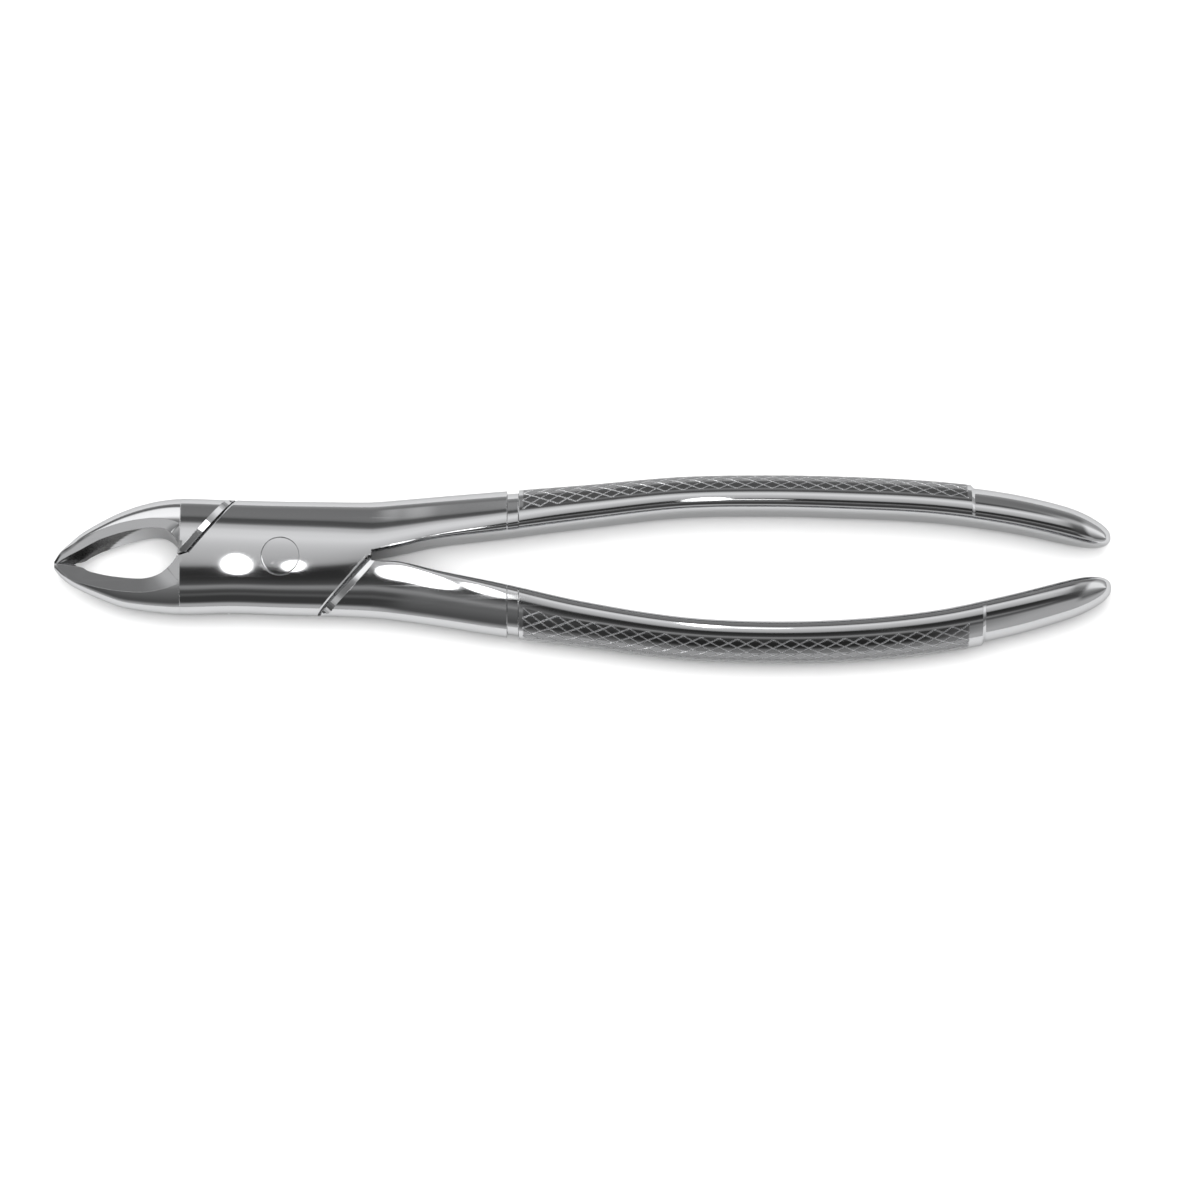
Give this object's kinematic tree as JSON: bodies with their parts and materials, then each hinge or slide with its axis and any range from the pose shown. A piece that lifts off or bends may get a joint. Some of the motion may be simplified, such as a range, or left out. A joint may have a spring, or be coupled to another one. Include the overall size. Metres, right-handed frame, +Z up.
{
  "type": "dental extraction forceps",
  "caption": "Straight extraction forceps: two crossed steel levers with a lap joint and flush rivet, hollowed beaks and knurled handles.",
  "frame": {"origin": "on the rivet's axis, in the flat plane that the tool lies on", "axes": "+X along the tool from the beaks towards the handle ends, +Y across it towards the front lever's handle, +Z up along the rivet's axis towards the front lever's lap"},
  "size_m": [0.1751, 0.0315, 0.01],
  "materials": {
    "lever_steel": "mirror polished, with fine wear scratches",
    "rivet_steel": "ground flush and polished"
  },
  "bodies": {
    "front": {"front_lever": "lever_steel", "pivot_rivet": "rivet_steel"},
    "back": {"back_lever": "lever_steel"}
  },
  "joints": [
    {"name": "pivot", "type": "hinge", "parent": "front", "child": "back", "pos_m": [0, 0, 0.005], "axis": [0, 0, -1], "range_deg": [0, 60]}
  ]
}
